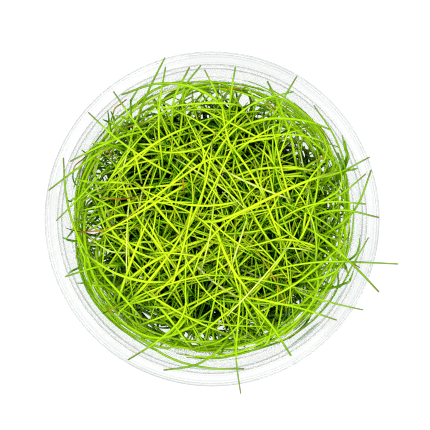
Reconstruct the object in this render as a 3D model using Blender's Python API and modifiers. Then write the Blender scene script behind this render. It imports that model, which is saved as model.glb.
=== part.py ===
"""Dwarf hairgrass grown in a clear plastic cup: the open cup, a bed of clear gel, and tufts rooted in the gel.

Metres, +Z up, with the origin in the middle of the cup's flat underside.
"""

import math
import random

import bmesh
import bpy
import numpy as np
from mathutils import Matrix, Vector
from mathutils.kdtree import KDTree

MM = 0.001
GAP = 0.3 * MM

# Cup: thin and clear, nearly upright, with a bead, a sloping flange and a short skirt round its mouth.
LIP_RADIUS = 45.0 * MM
CUP_HEIGHT = 46.0 * MM
MOUTH_RADIUS = 40.2 * MM
FLOOR_RADIUS = 38.2 * MM
WALL = 0.8 * MM
FLOOR = 1.0 * MM
HEEL = 1.8 * MM
SKIRT_DEPTH = 2.8 * MM
FLANGE_DROP = 1.1 * MM
BEAD = 0.35 * MM
BEAD_DROP = 0.6 * MM
LIP_EDGE = 0.7 * MM
CUP_STEPS = 44
TURNED_MERGE = 0.02 * MM

# Gel: a set disc that fills the bottom of the cup, with a blind socket for each crown.
GEL_TOP = 10.0 * MM
GEL_STEPS = 36
SOCKET_DEPTH = 2.2 * MM
SOCKET_SIDES = 6
CUTTER_ABOVE = 1.0 * MM

# Tufts: small crowns spread like the seeds of a sunflower, a little off the cup's axis.
TUFT_COUNT = 36
TUFT_SPREAD = 32.0 * MM
TUFT_CENTRE = (1.0 * MM, -2.0 * MM)
TUFT_JITTER = 1.0 * MM
CROWN_FOOT_RADIUS = 0.9 * MM
CROWN_RADIUS = 1.3 * MM
CROWN_TOP = GEL_TOP + 1.5 * MM
GOLDEN_ANGLE = math.pi * (3.0 - math.sqrt(5.0))

# Locks: the culms of a tuft run together in a few locks, three-sided, tapering to the culms' tips.
LOCKS_PER_TUFT = 6
LOCK_RADIUS = 0.55 * MM
TIP_RADIUS = 0.14 * MM
STRETCH = 9.5 * MM
FEWEST_STRETCHES = 4
MOST_STRETCHES = 9
SAMPLE = 0.8 * MM
CLEARANCE = 2.0 * LOCK_RADIUS + GAP
CUP_CLEARANCE = LOCK_RADIUS + GAP
FREE_NEAR_CROWN = 6.0 * MM
GUARD_POINTS = 24
GUARD_BELOW = 1.0 * MM
GUARD_BAND = 3.0 * MM
OVER_RIM_SPARE = 0.2 * MM
WALL_SPARE = 0.1 * MM
SMOOTHING = 14
MARCH = 40
SEED = 48

# Routes of the locks that stand out, seen from above, from where each leaves the tangle to its tip,
# in millimetres from the cup's axis, with the heights of each group at the start, middle and tip.
OVER_RIM_HEIGHTS = (36.0, 47.5, 49.5)
OVER_RIM = (
    ((-20, 27), (-18.3, 32.4), (-17, 34.5), (-15.6, 37), (-14, 40), (-12.6, 43)),
    ((-13, 13), (-14.4, 21.7), (-14.5, 26.5), (-14.2, 31.3), (-13.2, 36), (-12.4, 40.5)),
    ((-11, 24), (-10.7, 29), (-10.2, 32.4), (-9.7, 35), (-8.6, 37.2), (-6, 40.5)),
    ((-8, 28), (-8, 33), (-7.5, 36.2), (-6.2, 38.3), (-4.6, 39.6), (-3, 41)),
    ((4, 26), (2.7, 30.5), (1.3, 33.7), (0.2, 35.3), (-1, 37.5), (-2, 39.8)),
    ((4.5, 25), (4.8, 30), (5, 34.5), (5.3, 36.7), (6.2, 40.5)),
    ((14, 24), (16.5, 28), (18.2, 30.8), (19.8, 33), (21, 35.3), (22.6, 38)),
    ((35, 4), (36, 10), (36, 14), (34.3, 19.8), (30.8, 25.4), (27.2, 30.3)),
    ((26, 10), (31, 11.8), (35.6, 12.8), (37.8, 13.6), (39.6, 15), (42, 16.5)),
    ((28, 3), (33.5, 6), (37.8, 8.5), (39.4, 10.2), (41, 12)),
    ((30, -4), (35, -1.5), (38.3, 1.3), (39.9, 5.6), (41.2, 8.5), (42.5, 13)),
    ((24, 0), (29, 1.6), (33.5, 2.4), (38.8, 2.7), (41, 2.3), (44.5, 0.4)),
    ((14, -3.5), (20.3, 1.3), (26.8, 4.5), (31, 4.8), (35.6, 4.7), (41, 4)),
    ((34, -20), (36.5, -15), (38, -11), (39, -9), (40.2, -7), (41.6, -5)),
    ((14, -14.5), (21.7, -12.2), (29, -11.4), (37, -11), (44.5, -12.2), (49.5, -12)),
    ((27, -3), (32, -7), (37, -11.6), (40.4, -15), (42.3, -17.2), (44.2, -19.3)),
    ((20, -18), (25, -20.5), (30.3, -22.3), (35.6, -23), (37.8, -23.5), (40.3, -24.3)),
    ((4, -20), (9.6, -21.5), (17.4, -22.3), (24.6, -24), (30.3, -26), (33.2, -27)),
    ((5, -18), (10.7, -22.8), (15.5, -27.4), (18.2, -32), (21, -36.4)),
    ((8, -17), (7, -26.6), (6.4, -35), (6, -38.6), (6.4, -42), (7.6, -46.3)),
    ((-22, -30), (-14, -36.7), (-6, -39.4), (2, -40.4), (6, -40.4), (8.5, -40)),
    ((4, -33), (1, -36.5), (-4.3, -39.3), (-6.7, -39.8), (-10, -40.2), (-12.8, -40.2)),
    ((-7, -18), (-6.2, -24.7), (-10.7, -30.2), (-17.4, -34.6), (-22.4, -37.6)),
    ((-30, -14), (-35, -8), (-38, 0), (-39.3, 6), (-39.6, 13), (-39.7, 16.2)),
    ((-23, 22), (-30.8, 17.7), (-35.4, 14), (-39.4, 11), (-43.6, 7.7)),
    ((-28, 14), (-32, 10), (-36.5, 4.5), (-39.4, 1.3), (-41.5, -0.4)),
    ((-9, 11), (-16.6, 15.2), (-23.6, 19.7), (-27, 22.6), (-33, 28.4)),
    ((-12, 15), (-18.3, 22.5), (-22.5, 28.4), (-24.4, 31), (-26.3, 34)),
    ((6, 27), (0.5, 33.2), (-5, 35.6), (-12.6, 36.8), (-19.3, 35.8), (-24, 33)),
    ((-16, 24), (-22.5, 23), (-28.7, 20), (-35.4, 17), (-37.8, 15.4)),
    ((-24, -12), (-28.5, -12.6), (-32.7, -13), (-35.4, -14), (-39.2, -15.4)),
)
ALONG_WALL_HEIGHTS = (30.0, 38.0, 34.0)
ALONG_WALL = (
    ((-36, 3), (-37.5, -5), (-36.3, -14), (-33.6, -21.8), (-28, -28.4), (-20, -33.5)),
    ((-14, -27), (-22, -30.6), (-28.4, -26.6), (-33.3, -20), (-36, -12.4), (-36.5, -8)),
    ((-24, 20), (-23.3, 29.5), (-16.4, 35), (-10.5, 37.6), (-4.3, 37.4), (0.2, 34)),
    ((-22, 21), (-30, 19.3), (-34.6, 14.7), (-36.2, 7.7), (-36.5, -1)),
    ((30, 0), (33.5, -7.8), (33.5, -15), (30.5, -21.5), (25.2, -27.4), (21.7, -29.2)),
    ((31, -7), (35.3, -14), (34, -20.8), (28.5, -27.4), (21, -32.6)),
    ((28, -26), (24, -31), (15.5, -34.7), (7.5, -36.5), (3.5, -37.3)),
    ((30, -12), (35.3, -2.4), (37.4, 4.3), (36.8, 11.2), (34.2, 17.8)),
    ((25, 0), (28.6, 6.4), (29.6, 14.4), (29.2, 18.5), (27.5, 22.5)),
    ((13, -20), (9, -26.8), (5.6, -31.4), (0, -34.3), (-6, -35.2)),
)
ON_TOP_HEIGHTS = (33.0, 42.0, 41.0)
ON_TOP = (
    ((-3, 8), (-0.3, 14.4), (1, 17.7), (3.5, 21.7), (7, 25.4), (10.7, 27.8)),
    ((1, 12), (0.5, 3.7), (0, -2.5), (-1.4, -8.3), (-3.2, -15)),
    ((0, 20), (5, 27), (10.2, 31), (17, 33.5), (21.7, 34)),
    ((23, 11.8), (22.2, 19.3), (20, 26.2), (17, 33.2), (14.8, 36.8)),
    ((-24, 12), (-17.4, 7.2), (-14, 1.6), (-9.7, -3), (-7, -6)),
    ((-18, -2), (-22, 2.5), (-27, 0.6), (-33.3, -3.2)),
    ((-24, 5), (-18, -2.4), (-13.2, -8.6), (-9.5, -14)),
    ((-22, 9), (-22.8, 1), (-23, -9.7), (-23, -17.2)),
    ((-19, -8), (-26.3, -10.3), (-29.8, -7), (-34.6, -3.6)),
    ((5, -3), (-1.9, -5.7), (-9.7, -8), (-16.4, -11.3), (-22, -16), (-25.2, -18.5)),
    ((-5, 7), (-5.4, 1.8), (-8.3, -4.9), (-13.4, -8.9), (-17, -10)),
    ((6.4, -2.2), (0.5, -5.9), (-5, -10.7), (-10.7, -16), (-17, -22)),
    ((0, 2), (1.6, -5), (4.3, -12), (8.5, -18.5), (11, -21)),
    ((11, 5), (8.8, -2.2), (6.4, -8.9), (4, -16.4)),
    ((0, -2), (6.7, 1.4), (13.6, 4.7), (21, 8.4), (28.4, 11.6), (32.7, 12.6)),
    ((9, -7.5), (17, -5.5), (24.4, -5.3), (30.3, -8.3), (36, -13.5)),
    ((10, -13), (17, -16), (22.8, -16.4), (27.3, -13.2), (29.5, -9)),
    ((9, -24), (16.3, -21), (22.5, -17.6), (27.8, -13.7), (30.5, -11)),
    ((21, -6), (17.4, -11.6), (12.8, -16.6), (7.5, -22.5), (4, -26)),
    ((-33.5, -8), (-29.8, -15), (-24.7, -20), (-19.6, -25.5), (-18.3, -27.4)),
    ((-11, -16.5), (-18.3, -17.4), (-25, -15.3), (-31.4, -11.8), (-34.5, -9)),
    ((-5.5, -10), (-10.7, -15.6), (-16, -20.4), (-22.8, -22.7), (-26.3, -24.3)),
    ((12, -19), (6.7, -23), (0.2, -28.2), (-6, -33.5)),
    ((2, -19), (-6, -23.3), (-13.4, -26.3), (-20.5, -29)),
    ((4, 18), (-2, 22), (-7, 25), (-9, 29.2), (-9, 32)),
    ((5, -4), (1, 3.7), (-3.2, 11), (-7.5, 17), (-11.8, 24.4), (-14, 27)),
    ((-11, 17), (-4.6, 13), (3.2, 8.3), (7.7, 4.3), (10.5, 1)),
    ((-4, 17), (4.3, 12.6), (10.7, 8.8), (17.7, 7), (22, 5)),
    ((1, 26), (6, 18.5), (11, 11.8), (15, 4)),
    ((2, 18), (-6, 13), (-12.6, 7.7), (-19.5, 3), (-23, 0)),
    ((-27, 7), (-23.6, 13.6), (-22.8, 17), (-22, 20.6)),
    ((-6, 25), (-14, 21.4), (-20, 17), (-27, 11)),
    ((4, 23), (10.2, 26.2), (17, 27.4), (23.6, 27.3), (31.4, 24)),
    ((0, 20), (8.8, 21.4), (18.2, 23.3), (26.8, 22.5), (34, 19.3)),
    ((0, 8), (7.5, 12.6), (15, 14), (21, 14), (29, 12.8)),
)
RISE = (0.35, 0.35, 0.5)
LIFT_STEP = 0.9 * MM
MOST_LIFT = 13.0 * MM
MOST_DROP = 9.0 * MM
NEAR_CROWNS = 7
BACK_OFF = 5.0 * MM

# The other locks grow by rule: up and outwards, bending, turned back near the mouth's level and the wall.
FREE_LENGTHS = (24.0 * MM, 52.0 * MM)
FREE_LEAN = (0.12, 0.75)
FREE_BEND = 22.0
CEILING = 44.0 * MM
CEILING_ZONE = 8.0 * MM
CEILING_PUSH = 260.0
WALL_ZONE = 6.0 * MM
WALL_PUSH = 300.0
FREE_TRIES = 240


def wall_radius(z):
    """The cup's inside radius at a height: a straight draft from the floor to the mouth."""
    return FLOOR_RADIUS + (MOUTH_RADIUS - FLOOR_RADIUS) * min(z, CUP_HEIGHT) / CUP_HEIGHT


def evenly(points, count):
    """The same line with count points, spaced evenly along it."""
    points = np.asarray(points)
    run = np.concatenate([[0.0], np.cumsum(np.linalg.norm(np.diff(points, axis=0), axis=1))])
    places = np.linspace(0.0, run[-1], count)
    return np.stack([np.interp(places, run, points[:, axis]) for axis in range(3)], axis=1)


def length_of(points):
    return float(np.linalg.norm(np.diff(points, axis=0), axis=1).sum())


def rounded(points):
    """The line with its corners eased: each inner point moves halfway to the middle of its neighbours."""
    points = points.copy()
    for _ in range(SMOOTHING):
        points[1:-1] = 0.5 * points[1:-1] + 0.25 * (points[:-2] + points[2:])
    return points


def inside_cup(points):
    """The line kept off the wall where it is drawn inside, and over the rim where it is drawn beyond it."""
    points = points.copy()
    reach = np.hypot(points[:, 0], points[:, 1])
    beyond = reach > MOUTH_RADIUS - CUP_CLEARANCE
    if beyond.any():
        points[beyond, 2] = np.maximum(points[beyond, 2], CUP_HEIGHT + CUP_CLEARANCE + OVER_RIM_SPARE)
        return points
    most = np.array([wall_radius(z) for z in points[:, 2]]) - CUP_CLEARANCE - WALL_SPARE
    points[:, :2] *= np.minimum(1.0, most / np.maximum(reach, MM))[:, None]
    return points


def placed_route(crown, route, heights, lift):
    """A lock's line from its crown, up to the drawn route and along it, with its middle height a parabola."""
    start, middle, tip = (height * MM for height in heights)
    share = np.linspace(0.0, 1.0, len(route))
    level = start * (1 - share) * (1 - 2 * share) + 4 * middle * share * (1 - share)
    level += tip * share * (2 * share - 1) + lift
    drawn = np.column_stack([np.array(route) * MM, level])
    foot = np.array([crown[0], crown[1], CROWN_TOP])
    rise = foot + (drawn[0] - foot) * RISE
    return inside_cup(rounded(evenly(np.vstack([foot, rise, drawn]), MARCH)))


def free_route(crown, rng):
    """A lock's line grown step by step: leaning out, bending to one side, turned back by level and wall."""
    length = rng.uniform(*FREE_LENGTHS)
    step = length / (MARCH - 1)
    azimuth = rng.uniform(-math.pi, math.pi)
    lean = rng.uniform(*FREE_LEAN)
    bend = rng.uniform(-FREE_BEND, FREE_BEND)
    droop = rng.uniform(0.0, FREE_BEND)
    heading = Vector((math.cos(azimuth) * math.sin(lean), math.sin(azimuth) * math.sin(lean), math.cos(lean)))
    point = Vector((crown[0], crown[1], CROWN_TOP))
    points = [point.copy()]
    for _ in range(MARCH - 1):
        out = Vector((point.x, point.y, 0.0))
        side = Vector((-heading.y, heading.x, 0.0))
        along = Vector((math.cos(azimuth), math.sin(azimuth), 0.0))
        turn = side * bend + along * droop
        turn.z -= CEILING_PUSH * max(0.0, point.z - CEILING + CEILING_ZONE) / CEILING_ZONE
        near_wall = max(0.0, out.length - wall_radius(point.z) + WALL_ZONE) / WALL_ZONE
        if out.length > MM:
            turn -= out.normalized() * WALL_PUSH * near_wall
        heading = (heading + turn * step).normalized()
        point = point + heading * step
        point.z = max(point.z, GEL_TOP + CUP_CLEARANCE)
        points.append(point.copy())
    return inside_cup(np.array(points))


def stretches(line):
    """The line as the few straight stretches that its solid is drawn out in."""
    count = round(length_of(line) / STRETCH)
    return evenly(line, 1 + min(MOST_STRETCHES, max(FEWEST_STRETCHES, count)))


def samples(line):
    return evenly(line, 2 + int(length_of(line) / SAMPLE))


def clear_of_cup(points):
    """Whether every point is off the wall, or over the rim."""
    for x, y, z in points:
        reach = math.hypot(x, y)
        inside = reach < wall_radius(z) - CUP_CLEARANCE
        over = z > CUP_HEIGHT + CUP_CLEARANCE
        if not (inside or over):
            return False
    return True


class Thicket:
    """Every lock placed so far, each point with its tuft, asked whether a new lock would touch one."""

    def __init__(self, crowns):
        self.points = []
        self.owners = []
        for tuft, (x, y) in enumerate(crowns):
            for turn in range(GUARD_POINTS):
                angle = math.tau * turn / SOCKET_SIDES
                rim = CROWN_RADIUS - LOCK_RADIUS
                level = CROWN_TOP - GUARD_BELOW + GUARD_BAND * turn / GUARD_POINTS
                self.points.append((x + rim * math.cos(angle), y + rim * math.sin(angle), level))
                self.owners.append(tuft)
        self.balance()

    def balance(self):
        self.tree = KDTree(len(self.points))
        for number, point in enumerate(self.points):
            self.tree.insert(point, number)
        self.tree.balance()

    def has_room(self, line, tuft):
        """Near its crown a lock may touch its own tuft; further out it touches nothing."""
        places = samples(stretches(line))
        leaving = int(FREE_NEAR_CROWN / SAMPLE)
        near, far = places[:leaving], places[leaving:]
        if not clear_of_cup(far):
            return False
        if any(self.tree.find(place)[2] < CLEARANCE for place in far):
            return False
        return not any(
            self.tree.find(place, filter=lambda number: self.owners[number] != tuft)[2] < CLEARANCE
            for place in near
        )

    def add(self, line, tuft):
        places = samples(stretches(line))
        self.points.extend(tuple(place) for place in places)
        self.owners.extend([tuft] * len(places))
        self.balance()


def crown_places(rng):
    """Crowns laid out like sunflower seeds, each nudged a little."""
    places = []
    for number in range(TUFT_COUNT):
        reach = TUFT_SPREAD * math.sqrt((number + 0.5) / TUFT_COUNT)
        angle = number * GOLDEN_ANGLE
        x = TUFT_CENTRE[0] + reach * math.cos(angle) + rng.uniform(-TUFT_JITTER, TUFT_JITTER)
        y = TUFT_CENTRE[1] + reach * math.sin(angle) + rng.uniform(-TUFT_JITTER, TUFT_JITTER)
        places.append((x, y))
    return places


def plant(crowns, rng):
    """The lines of every tuft's locks: the drawn ones first, then free ones wherever they find room."""
    thicket = Thicket(crowns)
    tufts = [[] for _ in crowns]
    drawn = [(OVER_RIM_HEIGHTS, route) for route in OVER_RIM]
    drawn += [(ALONG_WALL_HEIGHTS, route) for route in ALONG_WALL]
    drawn += [(ON_TOP_HEIGHTS, route) for route in ON_TOP]
    for heights, route in drawn:
        start = Vector(route[0]) * MM
        back = start + (start - Vector(route[1]) * MM).normalized() * BACK_OFF
        order = sorted(range(TUFT_COUNT), key=lambda number: (Vector(crowns[number]) - back).length)
        near = [number for number in order if len(tufts[number]) < LOCKS_PER_TUFT][:NEAR_CROWNS]
        found = first_clear(thicket, crowns, near, route, heights)
        if found:
            number, line = found
            thicket.add(line, number)
            tufts[number].append(line)
    for number, crown in enumerate(crowns):
        for _ in range(FREE_TRIES):
            if len(tufts[number]) >= LOCKS_PER_TUFT:
                break
            line = free_route(crown, rng)
            if thicket.has_room(line, number):
                thicket.add(line, number)
                tufts[number].append(line)
    return tufts


def first_clear(thicket, crowns, near, route, heights):
    """The least shift in height, and the nearest crown, at which a drawn route runs clear of all others."""
    for lift in sorted(np.arange(-MOST_DROP, MOST_LIFT, LIFT_STEP), key=abs):
        for number in near:
            line = placed_route(crowns[number], route, heights, lift)
            if thicket.has_room(line, number):
                return number, line
    return None


def draw_out(bm, face, line):
    """Draws one lock out of a facet of its crown, stretch by stretch, turning and tapering it on the way."""
    centre = face.calc_center_median()
    heading = face.normal.copy()
    radius = max((vert.co - centre).length for vert in face.verts)
    points = [Vector(point) for point in stretches(line)]
    last = len(points) - 1
    for number in range(1, last + 1):
        face = bmesh.ops.extrude_discrete_faces(bm, faces=[face])["faces"][0]
        before = (points[number] - points[number - 1]).normalized()
        after = (points[min(number + 1, last)] - points[number]).normalized() if number < last else before
        new_heading = (before + after).normalized()
        new_radius = LOCK_RADIUS + (TIP_RADIUS - LOCK_RADIUS) * (number / last) ** 3
        verts = face.verts[:]
        bmesh.ops.translate(bm, vec=points[number] - centre, verts=verts)
        turn = heading.rotation_difference(new_heading).to_matrix()
        bmesh.ops.rotate(bm, cent=points[number], matrix=turn, verts=verts)
        scale = Vector((1, 1, 1)) * (new_radius / radius)
        bmesh.ops.scale(bm, vec=scale, space=Matrix.Translation(-points[number]), verts=verts)
        centre, heading, radius = points[number], new_heading, new_radius


def azimuth_from(crown, line):
    """The compass direction in which a lock leaves its crown."""
    lead = evenly(line, MARCH)[MARCH // 4]
    return math.atan2(lead[1] - crown[1], lead[0] - crown[0])


def tuft_mesh(name, crown, lines):
    """A crown with as many top facets as it has locks, each lock drawn out of the facet nearest its way."""
    lines = sorted(lines, key=lambda line: azimuth_from(crown, line))
    sides = max(3, len(lines))
    foot = GEL_TOP - SOCKET_DEPTH + GAP
    sector = math.tau / sides
    drift = [azimuth_from(crown, line) - (place + 0.5) * sector for place, line in enumerate(lines)]
    spin = math.atan2(sum(map(math.sin, drift)), sum(map(math.cos, drift)))
    bm = bmesh.new()
    middle = Matrix.Translation((crown[0], crown[1], (foot + CROWN_TOP) / 2))
    bmesh.ops.create_cone(
        bm,
        cap_ends=True,
        cap_tris=True,
        segments=sides,
        radius1=CROWN_FOOT_RADIUS,
        radius2=CROWN_RADIUS,
        depth=CROWN_TOP - foot,
        matrix=middle @ Matrix.Rotation(spin, 4, "Z"),
    )
    bm.normal_update()

    def turn_of(face):
        centre = face.calc_center_median()
        return (math.atan2(centre.y - crown[1], centre.x - crown[0]) - spin) % math.tau

    facets = sorted((face for face in bm.faces if face.normal.z > 0.9), key=turn_of)
    for facet, line in zip(facets, lines):
        draw_out(bm, facet, line)
    bmesh.ops.recalc_face_normals(bm, faces=bm.faces)
    mesh = bpy.data.meshes.new(name)
    bm.to_mesh(mesh)
    bm.free()
    mesh.shade_smooth()
    mesh.set_sharp_from_angle(angle=math.radians(70))
    return mesh


def cup_profile():
    """The cup's section: out along the inner floor, up inside, over the bead and skirt, and down outside."""
    outer_mouth = MOUTH_RADIUS + WALL
    outer_floor = FLOOR_RADIUS + WALL
    flange_top = CUP_HEIGHT - FLANGE_DROP
    skirt_foot = flange_top - SKIRT_DEPTH
    return (
        (0.0, FLOOR),
        (FLOOR_RADIUS - HEEL, FLOOR),
        (FLOOR_RADIUS - 0.4 * HEEL, FLOOR + 0.3 * HEEL),
        (FLOOR_RADIUS, FLOOR + HEEL),
        (MOUTH_RADIUS, CUP_HEIGHT - BEAD),
        (MOUTH_RADIUS + BEAD, CUP_HEIGHT),
        (outer_mouth, CUP_HEIGHT),
        (outer_mouth + BEAD, CUP_HEIGHT - BEAD_DROP),
        (LIP_RADIUS - LIP_EDGE, flange_top),
        (LIP_RADIUS, flange_top - LIP_EDGE),
        (LIP_RADIUS, skirt_foot),
        (LIP_RADIUS - WALL, skirt_foot),
        (LIP_RADIUS - WALL, flange_top - WALL - 0.4 * LIP_EDGE),
        (outer_mouth, flange_top - WALL),
        (outer_floor, HEEL),
        (outer_floor - 0.4 * HEEL, 0.3 * HEEL),
        (outer_floor - HEEL, 0.0),
        (0.0, 0.0),
    )


def turned(name, profile, steps):
    """A solid turned about the cup's axis from its section."""
    bm = bmesh.new()
    verts = [bm.verts.new((r, 0.0, z)) for r, z in profile]
    for upper, lower in zip(verts, verts[1:]):
        bm.edges.new((upper, lower))
    mesh = bpy.data.meshes.new(name)
    bm.to_mesh(mesh)
    bm.free()
    obj = bpy.data.objects.new(name, mesh)
    screw = obj.modifiers.new("turned", "SCREW")
    screw.steps = steps
    screw.render_steps = steps
    screw.use_merge_vertices = True
    screw.merge_threshold = TURNED_MERGE
    screw.use_smooth_shade = True
    return obj


def gel_profile():
    """The gel's section: a shallow disc that follows the cup's draft with a hair's gap."""
    foot = FLOOR + GAP
    return (
        (0.0, GEL_TOP),
        (wall_radius(GEL_TOP) - GAP, GEL_TOP),
        (wall_radius(foot + HEEL) - GAP, foot + HEEL),
        (FLOOR_RADIUS - HEEL - GAP, foot),
        (0.0, foot),
    )


def socket_cutter(crown):
    """A short plug a hair wider than the crown's foot, which cuts its socket in the gel."""
    bm = bmesh.new()
    bmesh.ops.create_cone(
        bm,
        cap_ends=True,
        segments=SOCKET_SIDES,
        radius1=CROWN_RADIUS + 2 * GAP,
        radius2=CROWN_RADIUS + 2 * GAP,
        depth=SOCKET_DEPTH + CUTTER_ABOVE,
        matrix=Matrix.Translation((crown[0], crown[1], GEL_TOP + (CUTTER_ABOVE - SOCKET_DEPTH) / 2)),
    )
    mesh = bpy.data.meshes.new("socket_cutter")
    bm.to_mesh(mesh)
    bm.free()
    cutter = bpy.data.objects.new("socket_cutter", mesh)
    cutter.hide_render = True
    cutter.display_type = "WIRE"
    return cutter


def material(name, colour, roughness, transmission=0.0):
    made = bpy.data.materials.new(name)
    made.use_nodes = True
    shader = made.node_tree.nodes["Principled BSDF"]
    shader.inputs["Base Color"].default_value = (*colour, 1.0)
    shader.inputs["Roughness"].default_value = roughness
    shader.inputs["Metallic"].default_value = 0.0
    shader.inputs["Transmission Weight"].default_value = transmission
    return made


def clear_scene():
    for obj in list(bpy.data.objects):
        bpy.data.objects.remove(obj, do_unlink=True)


def collection(name):
    made = bpy.data.collections.new(name)
    bpy.context.scene.collection.children.link(made)
    return made


def build():
    clear_scene()
    parts = collection("dwarf_hairgrass")
    cutters = collection("cutters")
    cutters.hide_render = True
    clear_plastic = material("clear_plastic", (0.90, 0.94, 0.93), 0.05, 0.9)
    clear_gel = material("clear_gel", (0.90, 0.92, 0.86), 0.15, 0.8)
    green = material("culm_green", (0.32, 0.56, 0.02), 0.5)

    cup = turned("cup", cup_profile(), CUP_STEPS)
    cup.data.materials.append(clear_plastic)
    parts.objects.link(cup)

    gel = turned("nutrient_gel", gel_profile(), GEL_STEPS)
    gel.data.materials.append(clear_gel)
    parts.objects.link(gel)

    rng = random.Random(SEED)
    crowns = crown_places(rng)
    for crown in crowns:
        cutter = socket_cutter(crown)
        cutters.objects.link(cutter)
        socket = gel.modifiers.new("socket", "BOOLEAN")
        socket.object = cutter
        socket.operation = "DIFFERENCE"
        socket.solver = "EXACT"

    for number, (crown, lines) in enumerate(zip(crowns, plant(crowns, rng)), 1):
        name = f"tuft_{number:02d}"
        tuft = bpy.data.objects.new(name, tuft_mesh(name, crown, lines))
        tuft.data.materials.append(green)
        parts.objects.link(tuft)


build()
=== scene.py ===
import math

import bpy
import numpy as np
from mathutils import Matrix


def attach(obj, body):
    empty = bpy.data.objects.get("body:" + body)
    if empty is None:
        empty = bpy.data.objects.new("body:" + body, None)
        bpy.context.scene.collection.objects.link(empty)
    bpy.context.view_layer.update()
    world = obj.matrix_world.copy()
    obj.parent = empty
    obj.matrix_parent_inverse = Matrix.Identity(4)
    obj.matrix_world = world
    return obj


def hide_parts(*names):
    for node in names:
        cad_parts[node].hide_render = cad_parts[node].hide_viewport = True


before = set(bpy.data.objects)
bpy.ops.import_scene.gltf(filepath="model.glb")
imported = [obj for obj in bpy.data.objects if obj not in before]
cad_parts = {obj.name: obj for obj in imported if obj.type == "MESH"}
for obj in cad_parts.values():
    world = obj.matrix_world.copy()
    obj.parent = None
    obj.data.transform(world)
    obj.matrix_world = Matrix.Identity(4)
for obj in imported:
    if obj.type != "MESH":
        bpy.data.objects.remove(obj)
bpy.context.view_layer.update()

# Cup: thin clear plastic, moulded in one piece and nearly upright. Its mouth has a rounded bead, a
# sloping flange and a short skirt. Nothing fixes it: it stands on its flat underside.
MM = 0.001
LIP_RADIUS = 45.0 * MM
CUP_HEIGHT = 46.0 * MM
MOUTH_RADIUS = 40.2 * MM
FLOOR_RADIUS = 38.2 * MM
WALL = 0.8 * MM
FLOOR = 1.0 * MM
INNER_HEEL = 2.2 * MM
OUTER_HEEL = 1.0 * MM
BEAD_TOP = 0.1 * MM
BEAD_WIDTH = 0.5 * MM
BEAD_DROP = 0.75 * MM
FLANGE_DROP = 1.1 * MM
SKIRT_DEPTH = 2.8 * MM
CUP_TURNS = 192
LONGEST_STEP = 2.5 * MM
PLASTIC_IOR = 1.49

# Where the plastic's colour is painted greyer, a painted shade for the darker look of its
# refracting edges, by reach from the axis and by height: the streaky flange, the lip, and the line
# round the mouth.
FLANGE_STARTS = (41.4 * MM, 41.9 * MM)
LIP_STARTS = (44.3 * MM, 44.7 * MM)
MOUTH_STARTS = (40.1 * MM, 40.25 * MM)
MOUTH_ENDS = (40.4 * MM, 40.55 * MM)
MOUTH_HEIGHTS = (44 * MM, 45 * MM)
CLEAR_TINTS = ((0.97, 0.985, 0.98, 1.0), (0.99, 0.998, 0.995, 1.0))
FLANGE_SHADE_GREY = (0.74, 0.755, 0.75, 1.0)
MOUTH_SHADE_GREY = (0.50, 0.56, 0.55, 1.0)
LIP_SHADE_GREY = (0.60, 0.62, 0.615, 1.0)


class Value:
    """A number that varies over a surface: each operator on it adds its Math node."""

    def __init__(self, finish, socket):
        self.finish, self.socket = finish, socket

    def joined(self, operation, left, right):
        return self.finish.node("ShaderNodeMath", {"operation": operation}, {0: left, 1: right})

    def __add__(self, other):
        return self.joined("ADD", self, other)

    def __sub__(self, other):
        return self.joined("SUBTRACT", self, other)

    def __rsub__(self, other):
        return self.joined("SUBTRACT", other, self)

    def __mul__(self, other):
        return self.joined("MULTIPLY", self, other)

    __radd__ = __add__
    __rmul__ = __mul__


class Finish:
    """A material put together node by node."""

    def __init__(self, name):
        self.material = bpy.data.materials.new(name)
        self.material.use_nodes = True
        self.tree = self.material.node_tree
        self.tree.nodes.clear()

    def node(self, kind, settings=None, sockets=None, out=0):
        """One node: its settings, then the values or links of its sockets. Gives one output."""
        made = self.tree.nodes.new(kind)
        for key, value in (settings or {}).items():
            if key == "stops":
                for _ in value[2:]:
                    made.color_ramp.elements.new(0.5)
                for element, (place, colour) in zip(made.color_ramp.elements, value):
                    element.position, element.color = place, (*colour, 1.0)
            else:
                setattr(made, key, value)
        for key, value in (sockets or {}).items():
            if isinstance(value, Value):
                self.tree.links.new(value.socket, made.inputs[key])
            else:
                made.inputs[key].default_value = value
        return Value(self, made.outputs[out])

    def mixed(self, share, first, second):
        """The first colour where share is 0, and the second where it is 1."""
        pair = {0: share, 6: first, 7: second}
        return self.node("ShaderNodeMix", {"data_type": "RGBA", "clamp_factor": True}, pair, out=2)

    def ramped(self, value, low, high):
        """0 where the value is at low, 1 at high, and 3 t^2 - 2 t^3 of the way between them."""
        span = {"Value": value, "From Min": low, "From Max": high}
        return self.node("ShaderNodeMapRange", {"interpolation_type": "SMOOTHSTEP"}, span)

    def surface(self, **sockets):
        """The Principled surface and the material's output."""
        named = {key.replace("_", " "): value for key, value in sockets.items()}
        shader = self.node("ShaderNodeBsdfPrincipled", None, named)
        end = self.tree.nodes.new("ShaderNodeOutputMaterial")
        self.tree.links.new(shader.socket, end.inputs["Surface"])
        return self.material


def eased(corners, cuts, steps=7):
    """A section with eased corners: at each, the parabola that touches the two edges at the cut's
    distance from it, (1 - t)^2 of the start plus 2 t (1 - t) of the corner plus t^2 of the end."""
    corners, cuts = np.array(corners), np.array(cuts)[:, None]
    to_last = corners[:-2] - corners[1:-1]
    to_next = corners[2:] - corners[1:-1]
    to_last = to_last / np.linalg.norm(to_last, axis=1, keepdims=True)
    to_next = to_next / np.linalg.norm(to_next, axis=1, keepdims=True)
    share = np.linspace(0.0, 1.0, steps)[None, :, None]
    middle = corners[1:-1, None]
    start, end = middle + (cuts * to_last)[:, None], middle + (cuts * to_next)[:, None]
    curves = (1 - share) ** 2 * start + 2 * share * (1 - share) * middle + share**2 * end
    return np.vstack([corners[:1], curves.reshape(-1, 2), corners[-1:]])


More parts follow.
